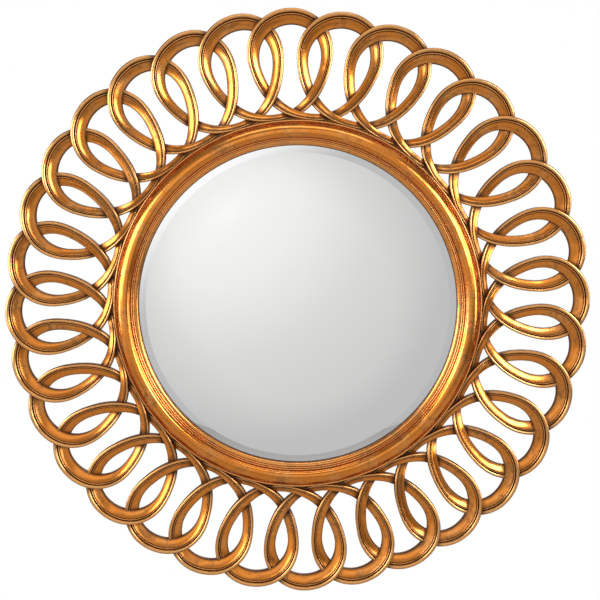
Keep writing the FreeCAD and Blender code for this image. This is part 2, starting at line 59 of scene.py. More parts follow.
def placed(across: Array, up: Array, depth: Array) -> Array:
    """Turns plan millimetres into the frame's metres.

    Args:
        across: distances to the right, as seen from the front.
        up: distances above the mirror's axis.
        depth: distances forward of the frame's flat back.

    Returns:
        The points, one triple for each.
    """
    return np.stack([across, BACK_Y - depth, up], axis=-1) / 1000.0


def bowed(start: Sequence[float], end: Sequence[float], bulge: float, count: int = 8) -> Array:
    """A run of a profile: the chord, pushed to its left by a parabola that is zero at both ends.

    Args:
        start: first corner, as (radius, depth).
        end: last corner.
        bulge: the most that the run leaves its chord.
        count: points along the run.

    Returns:
        The points from start to end.
    """
    share = np.linspace(0.0, 1.0, count)[:, None]
    a, b = np.array(start, float), np.array(end, float)
    chord = b - a
    left = np.array([-chord[1], chord[0]]) / np.hypot(*chord)
    return a + chord * share + left * (4.0 * bulge * share * (1.0 - share))


def level_arc(crest: Sequence[float], end: Sequence[float], count: int) -> Array:
    """A circle's arc that is level at its crest and falls to its end.

    With w across and h down from crest to end, the radius is (w^2 + h^2) / 2h.

    Args:
        crest: where the arc is level, as (radius, depth).
        end: where it ends.
        count: points along the arc.

    Returns:
        The points from crest to end.
    """
    across, down = end[0] - crest[0], crest[1] - end[1]
    bend = (across ** 2 + down ** 2) / (2.0 * down)
    turn = np.linspace(0.0, math.atan2(abs(across), bend - down), count)
    return np.stack([crest[0] + math.copysign(bend, across) * np.sin(turn),
                     crest[1] - bend * (1.0 - np.cos(turn))], axis=-1)


@dataclass
class Skin:
    """A grid of points that becomes one closed mesh.

    The grid's first parameter runs along the piece and its second one round its section, which
    is closed. Each pair of neighbours in both parameters makes a face. The ends are joined, or
    capped, or drawn in to poles.
    """

    grid: Array
    loop_along: bool = False
    caps: bool = False
    poles: bool = False
    marks: dict[str, Array] = field(default_factory=dict)

    def faces(self) -> list[Array]:
        """The faces as arrays of vertex numbers: quads, then fans or caps at the ends."""
        rows, columns = self.grid.shape[:2]
        number = np.arange(rows * columns).reshape(rows, columns)
        along = np.concatenate([number, number[:1]]) if self.loop_along else number
        wide = np.concatenate([along, along[:, :1]], axis=1)
        quads = np.stack(
            [wide[:-1, :-1], wide[1:, :-1], wide[1:, 1:], wide[:-1, 1:]], axis=-1
        ).reshape(-1, 4)
        made = [quads]
        if self.caps:
            made += [number[:1], number[-1:, ::-1]]
        if self.poles:
            first, last = rows * columns, rows * columns + 1
            ring_a, ring_b = number[0], number[-1]
            made.append(np.stack([np.full(columns, first), ring_a, np.roll(ring_a, -1)], axis=-1))
            made.append(np.stack([np.full(columns, last), np.roll(ring_b, -1), ring_b], axis=-1))
        return made

    def build(self, name: str, crease: float = 35.0) -> bpy.types.Object:
        """Makes the object.

        Args:
            name: the object's name.
            crease: angle in degrees above which an edge is shaded sharp.

        Returns:
            The object, at the origin, with its marks as point attributes.
        """
        points = self.grid.reshape(-1, 3)
        if self.poles:
            points = np.concatenate([points, [self.grid[0].mean(0), self.grid[-1].mean(0)]])
        faces = self.faces()
        corners = np.concatenate([group.ravel() for group in faces])
        lengths = np.concatenate([np.full(len(group), group.shape[1]) for group in faces])
        mesh = bpy.data.meshes.new(name)
        mesh.vertices.add(len(points))
        mesh.vertices.foreach_set("co", points.astype(np.float32).ravel())
        mesh.loops.add(len(corners))
        mesh.loops.foreach_set("vertex_index", corners.astype(np.int32))
        mesh.polygons.add(len(lengths))
        starts = np.concatenate([[0], np.cumsum(lengths)[:-1]])
        mesh.polygons.foreach_set("loop_start", starts.astype(np.int32))
        mesh.update(calc_edges=True)
        mesh.polygons.foreach_set("use_smooth", np.ones(len(lengths), bool))
        mesh.set_sharp_from_angle(angle=math.radians(crease))
        for mark, values in self.marks.items():
            layer = mesh.attributes.new(mark, "FLOAT", "POINT")
            flat = np.asarray(values, np.float32).ravel()
            if self.poles:
                flat = np.concatenate([flat, [flat[0], flat[-1]]]).astype(np.float32)
            layer.data.foreach_set("value", flat)
        if mesh.validate():
            raise ValueError(f"{name} had faces that had to be mended")
        made = bpy.data.objects.new(name, mesh)
        bpy.context.scene.collection.objects.link(made)
        return made


def turned(profile: Array, steps: int, marks: dict[str, Array] | None = None,
           poles: bool = False, centre: tuple[float, float] = (0.0, 0.0)) -> Skin:
    """Turns a profile round an axis that runs from back to front.

    A point at radius r and depth d goes to (r sin a, r cos a) in plan, at depth d, for every
    angle a round the circle.

    Args:
        profile: the (radius, depth) points, anticlockwise with radius to the right and depth up.
        steps: points round the circle.
        marks: values for each point of the profile, which hold all the way round.
        poles: True where the profile starts and ends on the axis, without its two axis points.
        centre: the axis, to the right and above the mirror's own.

    Returns:
        The turned skin.
    """
    angle = np.linspace(0.0, 2.0 * math.pi, steps, endpoint=False)
    radius, depth = profile[:, 0][:, None], profile[:, 1][:, None]
    grid = placed(centre[0] + radius * np.sin(angle), centre[1] + radius * np.cos(angle),
                  depth + 0.0 * angle)
    spread = {name: np.repeat(np.asarray(values)[:, None], steps, axis=1)
              for name, values in (marks or {}).items()}
    return Skin(grid, loop_along=not poles, poles=poles, marks=spread)


# ---------------------------------------------------------------- shader words

Number = Union[float, "Wire"]


class Wire:
    """A shader socket that is worked with as a number, or mixed as a colour."""

    def __init__(self, graph: "Graph", socket: bpy.types.NodeSocket) -> None:
        """Holds the socket and the graph that it belongs to."""
        self.graph = graph
        self.socket = socket

    def _sum(self, operation: str, *terms: Any, clamp: bool = False) -> "Wire":
        """Adds one Math node."""
        settings = {"operation": operation, "use_clamp": clamp}
        return self.graph.node("ShaderNodeMath", settings, dict(enumerate(terms)))

    def __add__(self, other: Number) -> "Wire":
        """self + other."""
        return self._sum("ADD", self, other)

    def __radd__(self, other: Number) -> "Wire":
        """other + self."""
        return self._sum("ADD", other, self)

    def __sub__(self, other: Number) -> "Wire":
        """self - other."""
        return self._sum("SUBTRACT", self, other)

    def __rsub__(self, other: Number) -> "Wire":
        """other - self."""
        return self._sum("SUBTRACT", other, self)

    def __mul__(self, other: Number) -> "Wire":
        """self * other."""
        return self._sum("MULTIPLY", self, other)

    def clamped(self) -> "Wire":
        """The number, held between 0 and 1."""
        return self._sum("ADD", self, 0.0, clamp=True)

    def between(self, low: float, high: float) -> "Wire":
        """0 below low, 1 above high and a smooth rise from one to the other."""
        return self.graph.node(
            "ShaderNodeMapRange",
            {"interpolation_type": "SMOOTHSTEP"},
            {"Value": self, "From Min": low, "From Max": high},
        )


class Graph:
    """The nodes of one material or of the world."""

    def __init__(self, tree: bpy.types.NodeTree) -> None:
        """Empties the tree."""
        self.tree = tree
        tree.nodes.clear()

    def node(self, kind: str, settings: dict[str, Any] | None = None,
             sockets: dict[Any, Any] | None = None, output: Any = 0) -> Wire:
        """Adds a node.

        Args:
            kind: the node's type.
            settings: its properties, set first; "stops" holds a ramp's (place, colour) pairs.
            sockets: the value or the wire of each socket, by its name or number.
            output: the name or number of the output to go on from.

        Returns:
            That output.
        """
        made = self.tree.nodes.new(kind)
        for name, value in (settings or {}).items():
            if name == "stops":
                stops = made.color_ramp.elements
                while len(stops) < len(value):
                    stops.new(0.5)
                for stop, (place, colour) in zip(stops, value):
                    stop.position = place
                    stop.color = (*colour, 1.0)
            else:
                setattr(made, name, value)
        for name, value in (sockets or {}).items():
            if isinstance(value, Wire):
                self.tree.links.new(value.socket, made.inputs[name])
            elif isinstance(value, tuple) and len(value) == 3 and made.inputs[name].type == "RGBA":
                made.inputs[name].default_value = (*value, 1.0)
            else:
                made.inputs[name].default_value = value
        return Wire(self, made.outputs[output] if made.outputs else None)

    def mark(self, name: str) -> Wire:
        """A point attribute of the mesh, as a number; 0 where the mesh has none."""
        return self.node("ShaderNodeAttribute", {"attribute_name": name}, output="Fac")

    def place(self) -> Wire:
        """Object coordinates, in metres."""
        return self.node("ShaderNodeTexCoord", output="Object")

    def cloud(self, scale: float, detail: float = 3.0, roughness: float = 0.55,
              where: Wire | None = None, warp: float = 0.0) -> Wire:
        """Noise of that many patches a metre, from 0 to 1."""
        sockets = {"Vector": where or self.place(), "Scale": scale, "Detail": detail,
                   "Roughness": roughness, "Distortion": warp}
        return self.node("ShaderNodeTexNoise", None, sockets)

    def blend(self, factor: Number, low: Any, high: Any) -> Wire:
        """The colour low where the factor is 0, and high where it is 1."""
        return self.node("ShaderNodeMix", {"data_type": "RGBA"}, {0: factor, 6: low, 7: high}, 2)

    def bump(self, height: Wire, distance: float, strength: float = 1.0,
             under: Wire | None = None) -> Wire:
        """Makes a normal from a height.

        Args:
            height: a number over the surface.
            distance: how many metres its 0 and its 1 are apart.
            strength: how much of it shows.
            under: a normal that it goes on top of.

        Returns:
            The normal.
        """
        sockets: dict[str, Any] = {"Height": height, "Distance": distance, "Strength": strength}
        if under is not None:
            sockets["Normal"] = under
        return self.node("ShaderNodeBump", None, sockets)


class Finish:
    """A finish that becomes one material."""

    name: str = "finish"

    def surface(self, graph: Graph) -> dict[str, Any]:
        """The sockets of the finish's Principled shader."""
        raise NotImplementedError

    def material(self) -> bpy.types.Material:
        """Makes the material, once.

        Returns:
            The material of the finish's name.
        """
        if self.name in bpy.data.materials:
            return bpy.data.materials[self.name]
        made = bpy.data.materials.new(self.name)
        made.use_nodes = True
        graph = Graph(made.node_tree)
        shader = graph.node("ShaderNodeBsdfPrincipled", None, self.surface(graph))
        graph.node("ShaderNodeOutputMaterial", None, {"Surface": shader})
        return made

    def dress(self, *objects: bpy.types.Object) -> None:
        """Puts the material on every slot of the objects.

        Args:
            objects: what to dress.
        """
        for piece in objects:
            slots = piece.data.materials
            if len(slots) == 0:
                slots.append(None)
            for number in range(len(slots)):
                slots[number] = self.material()


@dataclass(frozen=True)
class AntiqueLeaf(Finish):
    """Gold leaf on a red-brown ground, with a toning wash, painted shade and painted highlight.

    The mesh marks say where: one for toning wash in the grooves and painted shade on the sides,
    under crossings, along the tails and in the rebates; one for painted highlight on the crests;
    "wall" on the upright sides, where thin leaf is darker as painted shade; and "bare" on the
    back, which has only the ground's dull paint.
    """

    name: str = "antique_leaf"
    leaf: Colour = (0.86, 0.275, 0.034)
    pale_leaf_and_highlight: Colour = (0.95, 0.56, 0.22)
    ground: Colour = (0.19, 0.062, 0.014)
    wash_and_shade_colour: Colour = (0.030, 0.0085, 0.003)
    thin_leaf_and_shade: Colour = (0.30, 0.13, 0.05)
    bare: Colour = (0.185, 0.090, 0.040)
    wax: float = 0.35

    def surface(self, graph: Graph) -> dict[str, Any]:
        """Leaf, ground patches, wash and painted shade in hollows, painted highlight on crests.

        Args:
            graph: the material's nodes.

        Returns:
            The shader's sockets.
        """
        where = graph.place()
        hollow, rubbed, wall, bare = (
            graph.mark(name) for name in ("hollow", "rubbed", "wall", "bare"))
        broad = graph.cloud(26.0, 3.0, 0.5, where, 0.4)
        patch = graph.cloud(95.0, 4.0, 0.6, where, 0.6)
        speck = graph.cloud(900.0, 3.0, 0.7, where)
        worn = ((patch - 0.5) * 1.8 + broad).between(0.5, 0.95)
        colour = graph.blend(broad.between(0.42, 0.75) * 0.30, self.leaf, self.pale_leaf_and_highlight)
        colour = graph.blend(worn * 0.5, colour, self.ground)
        # Upright sides: thin leaf, darkened further as painted shade.
        colour = graph.blend(wall * 0.6, colour, self.thin_leaf_and_shade)
        # Painted highlight: paler leaf along the crests.
        colour = graph.blend((rubbed * (0.7 + patch * 0.3)).clamped() * 0.7, colour, self.pale_leaf_and_highlight)
        # Toning wash in the grooves and painted shade at the sides, crossings, tails and rebates.
        wash_and_shade_amount = (hollow * (0.8 + patch * 0.4)).clamped()
        colour = graph.blend(wash_and_shade_amount, colour, self.wash_and_shade_colour)
        colour = graph.blend(speck.between(0.66, 0.8) * 0.2, colour, self.ground)
        paint = graph.blend(patch.between(0.3, 0.8) * 0.5, self.bare, self.ground)
        colour = graph.blend(bare, colour, paint)
        rough = 0.15 + patch * 0.08 + wash_and_shade_amount * 0.3 + wall * 0.15 + bare * 0.4
        uneven = graph.bump(graph.cloud(34.0, 1.0, 0.4, where), 0.0016, 0.5)
        grain = graph.bump(speck, 0.00005, 0.2, uneven)
        return {"Base Color": colour, "Metallic": (1.0 - wash_and_shade_amount * 0.45 - bare).clamped(),
                "Roughness": rough, "Coat Roughness": 0.17, "Normal": grain,
                "Coat Weight": (1.0 - wash_and_shade_amount - bare).clamped() * self.wax}


@dataclass(frozen=True)
class SilveredGlass(Finish):
    """A silvered plate whose bevel is a touch darker, as painted shade."""

    name: str = "silvered_glass"
    face: Colour = (0.955, 0.955, 0.95)
    bevel: Colour = (0.935, 0.94, 0.94)

    def surface(self, graph: Graph) -> dict[str, Any]:
        """A clean mirror with the faintest waviness of drawn glass.

        Args:
            graph: the material's nodes.

        Returns:
            The shader's sockets.
        """
        slope = graph.mark("bevel")
        wave = graph.cloud(9.0, 2.0, 0.4)
        # Painted shade: the bevel's silver is a touch darker than the face's.
        colour = graph.blend(slope, self.face, self.bevel)
        return {"Base Color": colour, "Metallic": 1.0,
                "Roughness": 0.012 + graph.cloud(700.0, 2.0) * 0.012,
                "Normal": graph.bump(wave, 0.0004, 0.25)}


@dataclass(frozen=True)
class PressedBoard(Finish):
    """Brown pressed fibre board, smooth, with a faint web of fibres."""

    name: str = "pressed_board"
    dark: Colour = (0.115, 0.060, 0.030)
    light: Colour = (0.215, 0.125, 0.066)

    def surface(self, graph: Graph) -> dict[str, Any]:
        """Fibres at two sizes, and a dull gloss that follows them.

        Args:
            graph: the material's nodes.

        Returns:
            The shader's sockets.
        """
        where = graph.place()
        fibre = graph.cloud(420.0, 6.0, 0.75, where, 1.4)
        cloud = graph.cloud(22.0, 4.0, 0.6, where)
        colour = graph.blend((fibre * 0.7 + cloud * 0.45).between(0.35, 0.8), self.dark, self.light)
        return {"Base Color": colour, "Roughness": 0.62 + fibre * 0.2,
                "Normal": graph.bump(fibre, 0.0002, 0.5)}


@dataclass(frozen=True)
class Steel(Finish):
    """Bare or plated steel, with fine rolling lines."""

    name: str = "plated_steel"
    bright: Colour = (0.72, 0.71, 0.68)
    dull: Colour = (0.46, 0.46, 0.45)
    roughness: float = 0.3

    def surface(self, graph: Graph) -> dict[str, Any]:
        """Soft clouds in the plating and lines along the strip.

        Args:
            graph: the material's nodes.

        Returns:
            The shader's sockets.
        """
        where = graph.place()
        cloud = graph.cloud(150.0, 4.0, 0.6, where)
        lines = graph.node("ShaderNodeMapping", None, {"Vector": where, "Scale": (1.0, 1.0, 0.06)})
        rolled = graph.cloud(2600.0, 2.0, 0.5, lines)
        colour = graph.blend((cloud * 0.6 + rolled * 0.4).between(0.3, 0.7), self.dull, self.bright)
        return {"Base Color": colour, "Metallic": 1.0,
                "Roughness": self.roughness + cloud * 0.15,
                "Normal": graph.bump(rolled, 0.00004, 0.4)}


@dataclass(frozen=True)
class Soft(Finish):
    """Dull moulded rubber or felt, told apart by colour and grain."""

    name: str = "rubber"
    colour: Colour = (0.028, 0.027, 0.026)
    grain: float = 1500.0
    depth: float = 0.00008
    roughness: float = 0.7

    def surface(self, graph: Graph) -> dict[str, Any]:
        """Grain in the height and a little in the tone.

        Args:
            graph: the material's nodes.

        Returns:
            The shader's sockets.
        """
        grain = graph.cloud(self.grain, 4.0, 0.7)
        lighter = tuple(min(1.0, part * 1.7 + 0.006) for part in self.colour)
        colour = graph.blend(grain.between(0.35, 0.75), self.colour, lighter)
        return {"Base Color": colour, "Roughness": self.roughness + grain * 0.15,
                "Normal": graph.bump(grain, self.depth, 0.6)}


LEAF = AntiqueLeaf()
SILVERED = SilveredGlass()
BOARD = PressedBoard()
PLATED = Steel()
POINT_STEEL = Steel("point_steel", (0.42, 0.41, 0.40), (0.22, 0.22, 0.22), 0.42)
RUBBER = Soft()
FELT = Soft("felt", (0.30, 0.29, 0.27), 2400.0, 0.0004, 0.9)


# ---------------------------------------------------------------- the fret

class Leg(Enum):
    """How a strand passes at a crossing on its right leg; its left leg does the opposite."""

    UNDER = -1.0
    LEVEL = 0.0
    OVER = 1.0


@dataclass(frozen=True)
class Stretch:
    """Neighbouring rows of a strand's section; a single number holds for all of them.

    The share of the width counts from the outer side. The fall is in millimetres below the front.
    The level is 0 at the back and 1 at the front, and is given only on the upright sides.
    """

    share: Any
    fall: Any = 0.0
    level: Any = math.nan
    hollow: Any = 0.0
    rubbed: Any = 0.0
    wall: Any = 0.0
    bare: Any = 0.0

    def column(self, name: str) -> Array:
        """One of the fields, with a number for every row."""
        return np.broadcast_to(np.asarray(getattr(self, name), float), (len(self.share),))


@dataclass
class Fret:
    """Loops of one strand each, interlaced, whose tails join end to end along the ring.

    A place on a strand is told by its turn: -pi to pi in radians, from its left tail to its right
    one, with 0 at the crown. The fields are in millimetres and degrees.
    """

    loops: int = 32
    first_crown: float = -1.34
    swing: float = 11.1
    mean_radius: float = 362.75
    half_height: float = 75.25
    lean: float = 0.42
    dip: float = 12.0
    crown_width: float = 24.0
    leg_width: float = 16.4
    root_width: float = 9.8
    front: float = 15.2
    rise: float = 2.9
    back: float = 0.45
    back_rise: float = 0.3
    shade_reach: float = 20.0
    shade_fade: float = 11.0
    steps: int = 264
    seed: int = 20
    wander_lean: float = 0.0045
    wander_drop: float = 1.6

    @property
    def pitch(self) -> float:
        """Angle from one crown to the next, in radians."""
        return 2.0 * math.pi / self.loops

    def angle(self, turn: Array) -> Array:
        """The swing's sine, less a steady drift of one pitch a turn, in radians."""
        return math.radians(self.swing) * np.sin(turn) - self.pitch * turn / (2.0 * math.pi)

    def centre(self, turn: Array, lean: float, drop: float) -> Array:
        """The centre line in plan.

        Its angle is the one above, less a lean of sin(turn) squared. Its radius is the mean plus
        half the height times cos(turn), less a dip of sin(turn) squared times -cos(turn) in the
        lower half. A hand-laid loop leans and drops a little more at its crown.

        Args:
            turn: places on the strand.
            lean: the loop's own lean at the crown, in radians.
            drop: its own drop there.

        Returns:
            The points, as (across, up) of a loop whose crown is on top.
        """
        high = np.maximum(np.cos(turn) + 0.2, 0.0) / 1.2
        low = np.sin(turn) ** 2 * np.maximum(-np.cos(turn), 0.0)
        radius = self.mean_radius + self.half_height * np.cos(turn) - self.dip * low
        angle = self.angle(turn) - math.radians(self.lean) * np.sin(turn) ** 2 + lean * high ** 2
        radius = radius - drop * high ** 2
        return np.stack([radius * np.sin(angle), radius * np.cos(angle)], axis=-1)

    def crossing(self, offset: float, low: float, high: float) -> float:
        """The turn between low and high at which the strand stands offset round from its crown."""
        turn = np.linspace(low, high, 20001)
        return float(turn[np.argmin(np.abs(self.angle(turn) - offset))])

    def crossings(self) -> tuple[float, float, float]:
        """Finds the right leg's three crossings.

        Returns:
            The turns at the neighbour outside, at the neighbour inside and at itself.
        """
        widest = math.acos(self.pitch / (2.0 * math.pi * math.radians(self.swing)))
        own = self.crossing(0.0, widest, 3.1)
        outer = self.crossing(self.pitch / 2.0, 0.0, widest)
        return outer, self.crossing(self.pitch / 2.0, widest, own), own

    def lift(self, turn: Array) -> Array:
        """The weave's height, eased from one crossing to the next.

        Args:
            turn: places on the strand.

        Returns:
            The height over the strand's mean front, in shares of the rise.
        """
        outer, inner, own = self.crossings()
        knots = np.array([0.0, outer, inner, own, math.pi])
        passes = [Leg.LEVEL, Leg.UNDER, Leg.OVER, Leg.UNDER, Leg.LEVEL]
        level = np.array([leg.value for leg in passes])
        size = np.abs(turn)
        part = np.clip(np.searchsorted(knots, size, side="right") - 1, 0, 3)
        share = np.clip((size - knots[part]) / (knots[part + 1] - knots[part]), 0.0, 1.0)
        eased = (1.0 - np.cos(math.pi * share)) / 2.0
        return np.sign(turn) * (level[part] + (level[part + 1] - level[part]) * eased)

    def width(self, turn: Array) -> Array:
        """Widest at the crown, even down the legs, and narrow along the ring.

        Args:
            turn: places on the strand.

        Returns:
            The widths.
        """
        top = np.maximum(np.cos(turn), 0.0) ** 1.2
        foot = np.maximum(-np.cos(turn), 0.0) ** 3
        return (self.leg_width + (self.crown_width - self.leg_width) * top
                - (self.leg_width - self.root_width) * foot)

    def section(self) -> tuple[Array, dict[str, Array]]:
        """The strand's section at the crown's width, anticlockwise from the back of its outer side.

        A rolled bead stands along the outer side, then a groove, a fine second roll, and a concave
        face that falls inwards to the upright inner side.

        Returns:
            Rows of (share of the width from the outer side, fall below the front, level), and the
            marks of each row.
        """
        bead = np.linspace(0.0, math.pi, 11)
        roll = np.linspace(0.25 * math.pi, 0.9 * math.pi, 5)
        face = np.linspace(0.0, 1.0, 9)
        # Marks: wash in the grooves, painted shade on walls and edges, painted highlight on crests.
        outer_wall = Stretch([0.0, 0.0, 0.0], level=[0.0, 0.35, 0.7], hollow=[0.0, 0.8, 0.9],
                             wall=1.0, bare=[1.0, 0.0, 0.0])
        rolled_bead = Stretch(
            0.13 - 0.13 * np.cos(bead), 2.7 - 2.7 * np.sin(bead) ** 0.8,
            hollow=[0.9, 0.8, 0.55, 0.1, 0.0, 0.0, 0.0, 0.0, 0.25, 0.65, 0.85],
            rubbed=[0.0, 0.0, 0.0, 0.5, 1.0, 1.0, 1.0, 0.9, 0.5, 0.0, 0.0])
        groove = Stretch([0.292], 3.9, hollow=0.95)
        second_roll = Stretch(0.362 - 0.042 * np.cos(roll), 2.5 - 1.35 * np.sin(roll),
                              hollow=[0.65, 0.1, 0.0, 0.4, 0.75], rubbed=[0.0, 1.0, 1.0, 0.0, 0.0])
        second_groove = Stretch([0.422], 3.2, hollow=0.9)
        hollow_face = Stretch(
            0.445 + 0.535 * face, 2.0 + 4.0 * face + 2.8 * face * (1.0 - face),
            hollow=[0.6, 0.15, 0.0, 0.0, 0.0, 0.0, 0.0, 0.4, 0.8])
        inner_edge = Stretch([0.996, 1.0], [6.5, 7.2], hollow=[0.9, 0.95], wall=[0.0, 1.0])
        inner_wall = Stretch([1.0, 1.0], level=[0.35, 0.0], hollow=[0.9, 0.0], wall=1.0,
                             bare=[0.0, 1.0])
        order = (outer_wall, rolled_bead, groove, second_roll, second_groove, hollow_face,
                 inner_edge, inner_wall)
        table = {name: np.concatenate([stretch.column(name) for stretch in order])
                 for name in ("share", "fall", "level", "hollow", "rubbed", "wall", "bare")}
        rows = np.stack([table.pop(name) for name in ("share", "fall", "level")], axis=-1)
        return rows, table

    def strand(self, number: int) -> Skin:
        """One loop's strand, from the end of its left leg over the crown to that of its right one.

        The section is set square to the centre line in plan. Its front rises and dips by the
        weave, and so, a little, does its back, so that no two backs share a plane. Each loop's own
        lean and drop come from a seeded number.

        Args:
            number: the loop, from 0 at the top and on to the right.

        Returns:
            The strand's skin, with its marks.
        """
        chance = np.random.default_rng(self.seed + number)
        lean = chance.uniform(-self.wander_lean, self.wander_lean)
        drop = chance.uniform(0.0, self.wander_drop)
        turn = np.linspace(-math.pi, math.pi, self.steps)
        centre = self.centre(turn, lean, drop)
        run = np.gradient(centre, turn, axis=0)
        run /= np.linalg.norm(run, axis=1)[:, None]
        out = np.stack([-run[:, 1], run[:, 0]], axis=-1)
        width = self.width(turn)[:, None]
        profile, marks = self.section()
        scale = (width / self.crown_width) ** 0.75
        lift = self.lift(turn)[:, None]
        front = self.front + self.rise * lift
        back = self.back + self.back_rise * lift
        side = width * (0.5 - profile[:, 0])
        depth = np.where(np.isnan(profile[:, 2]), front - profile[:, 1] * scale,
                         back + np.nan_to_num(profile[:, 2]) * (front - back))
        across = centre[:, :1] + out[:, :1] * side
        up = centre[:, 1:] + out[:, 1:] * side
        whole = {name: np.repeat(values[None], len(turn), axis=0)
                 for name, values in marks.items()}
        # Painted shade under the crossings and along the tails joins the wash marks.
        shade = self.shade(turn, centre)[:, None] * (1.0 - whole["bare"])
        whole["hollow"] = np.maximum(whole["hollow"], shade)
        start = math.radians(self.first_crown) + number * self.pitch
        cos, sin = math.cos(start), math.sin(start)
        grid = placed(across * cos + up * sin, up * cos - across * sin, depth)
        return Skin(grid, caps=True, marks=whole)

    def shade(self, turn: Array, centre: Array) -> Array:
        """Painted shade where the strand goes under another, and along its tails.

        Args:
            turn: places on the strand.
            centre: the centre line's points there.

        Returns:
            The painted shade, from 0 to 1.
        """
        steps = np.linalg.norm(np.diff(centre, axis=0), axis=1)
        length = np.concatenate([[0.0], np.cumsum(steps)])
        outer, inner, own = self.crossings()
        shade = np.zeros(len(turn))
        for place in (outer, -inner, own):
            way = np.abs(length - np.interp(place, turn, length))
            near = np.clip((self.shade_reach - way) / self.shade_fade, 0.0, 1.0)
            shade = np.maximum(shade, 0.9 * near)
        tail = np.clip((np.abs(turn) - 2.85) / 0.25, 0.0, 1.0)
        return np.maximum(shade, 0.45 * tail)

    def build(self) -> None:
        """Makes and dresses every strand."""
        for number in range(self.loops):
            strand = self.strand(number).build(f"strand_{number + 1:02d}")
            LEAF.dress(strand)
            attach(strand, "frame")
            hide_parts(f"loop_{number + 1:02d}")
        LOG.info("fret: %d strands of %d faces", self.loops, len(strand.data.polygons))


# ---------------------------------------------------------------- ring, plate and back

@dataclass
class RingMoulding:
    """The turned ring round the plate: fillet, broad rolled band, two reeds and the sight lip."""

    outer: float = 282.5
    flange: float = 292.0
    back_inner: float = 267.5
    crest: float = 264.0
    sight: float = 244.7
    rebate: float = 254.0
    steps: int = 576

    def profile(self) -> tuple[Array, dict[str, Array]]:
        """The ring's section, from the back of the board's rebate outwards, over the front and in.

        Each run is its points, its wash and painted shade, and its middle's painted highlight.

        Returns:
            The (radius, depth) points, and the marks of each.
        """
        runs = [
            (bowed((self.back_inner, 0.3), (self.back_inner + 0.3, 0.0), 0.0, 2), 0.3, 0.0),
            (bowed((self.back_inner + 0.3, 0.0), (self.flange - 0.4, 0.0), 0.0, 6), 0.2, 0.0),
            (bowed((self.flange, 0.4), (self.flange, 7.6), 0.0, 3), 0.6, 0.0),
            (bowed((self.flange - 0.4, 8.0), (self.outer, 8.0), 0.0, 4), 0.6, 0.0),
            (bowed((self.outer, 8.4), (self.outer, 16.6), 0.0, 4), 0.7, 0.0),
            (bowed((self.outer - 0.1, 16.8), (279.8, 18.3), -1.1, 9), 0.0, 0.8),
            (bowed((279.6, 18.1), (279.0, 18.3), 0.0, 3), 1.0, 0.0),
            (level_arc((self.crest, 30.15), (278.8, 18.9), 24)[::-1], 0.0, 0.0),
            (level_arc((self.crest, 30.15), (256.5, 21.8), 16)[1:], 0.0, 0.0),
            (bowed((256.4, 21.3), (256.2, 20.8), 0.0, 3), 1.0, 0.0),
            (bowed((256.05, 20.8), (253.7, 20.1), -1.15, 10), 0.0, 1.0),
            (bowed((253.6, 19.7), (253.45, 19.4), 0.0, 3), 0.95, 0.0),
            (bowed((253.3, 19.4), (250.95, 18.7), -1.15, 10), 0.0, 1.0),
            (bowed((250.8, 18.2), (250.6, 17.7), 0.0, 3), 1.0, 0.0),
            (bowed((250.4, 17.8), (self.sight + 0.4, 15.6), -0.75, 10), 0.0, 0.5),
            (bowed((self.sight, 15.0), (self.sight, 11.785), 0.0, 4), 0.95, 0.0),
            (bowed((self.sight + 0.2, 11.785), (self.rebate, 11.785), 0.0, 3), 0.9, 0.0),
            (bowed((self.rebate, 11.6), (self.rebate, 6.2), 0.0, 3), 0.9, 0.0),
            (bowed((self.rebate + 0.2, 6.1), (self.back_inner, 6.1), 0.0, 3), 0.8, 0.0),
            (bowed((self.back_inner, 5.9), (self.back_inner, 0.5), 0.0, 3), 0.6, 0.0),
        ]
        # Toning wash in the grooves, painted shade at walls and rebates, painted highlight on
        # reeds.
        hollow = np.concatenate([np.full(len(run), value) for run, value, _ in runs])
        rubbed = np.concatenate([
            value * np.sin(np.linspace(0.0, math.pi, len(run))) for run, _, value in runs])
        points = np.concatenate([run for run, _, _ in runs])
        bare = np.where(points[:, 1] < 6.5, 1.0, 0.0)
        return points, {"hollow": hollow * (1.0 - bare), "rubbed": rubbed, "bare": bare}

    def build(self) -> None:
        """Makes and dresses the ring."""
        profile, marks = self.profile()
        ring = turned(profile, self.steps, marks).build("turned_ring")
        LEAF.dress(ring)
        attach(ring, "frame")
        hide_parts("ring_moulding")
        LOG.info("ring moulding: %d faces", len(ring.data.polygons))


@dataclass
class Plate:
    """The flat round plate with its bevelled edge, silvered behind."""

    radius: float = 252.5
    flat: float = 233.5
    front: float = 13.0
    drop: float = 2.4
    back: float = 8.0
    crease: float = 4.0
    steps: int = 360

    def build(self) -> None:
        """Turns the section: flat back, ground edge, bevel and flat face, closed at both poles."""
        profile = np.array([
            (60.0, self.back), (150.0, self.back), (self.radius - 0.4, self.back),
            (self.radius, self.back + 0.4), (self.radius, self.front - self.drop),
            (self.flat + 0.05, self.front - 0.006), (self.flat - 0.05, self.front),
            (150.0, self.front), (60.0, self.front)])
        slope = np.array([0.0, 0.0, 0.0, 1.0, 1.0, 1.0, 0.0, 0.0, 0.0])
        skin = turned(profile, self.steps, {"bevel": slope}, poles=True)
        plate = skin.build("bevelled_plate", self.crease)
        SILVERED.dress(plate)
        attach(plate, "frame")
        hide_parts("mirror_glass")
        LOG.info("plate: %d faces", len(plate.data.polygons))


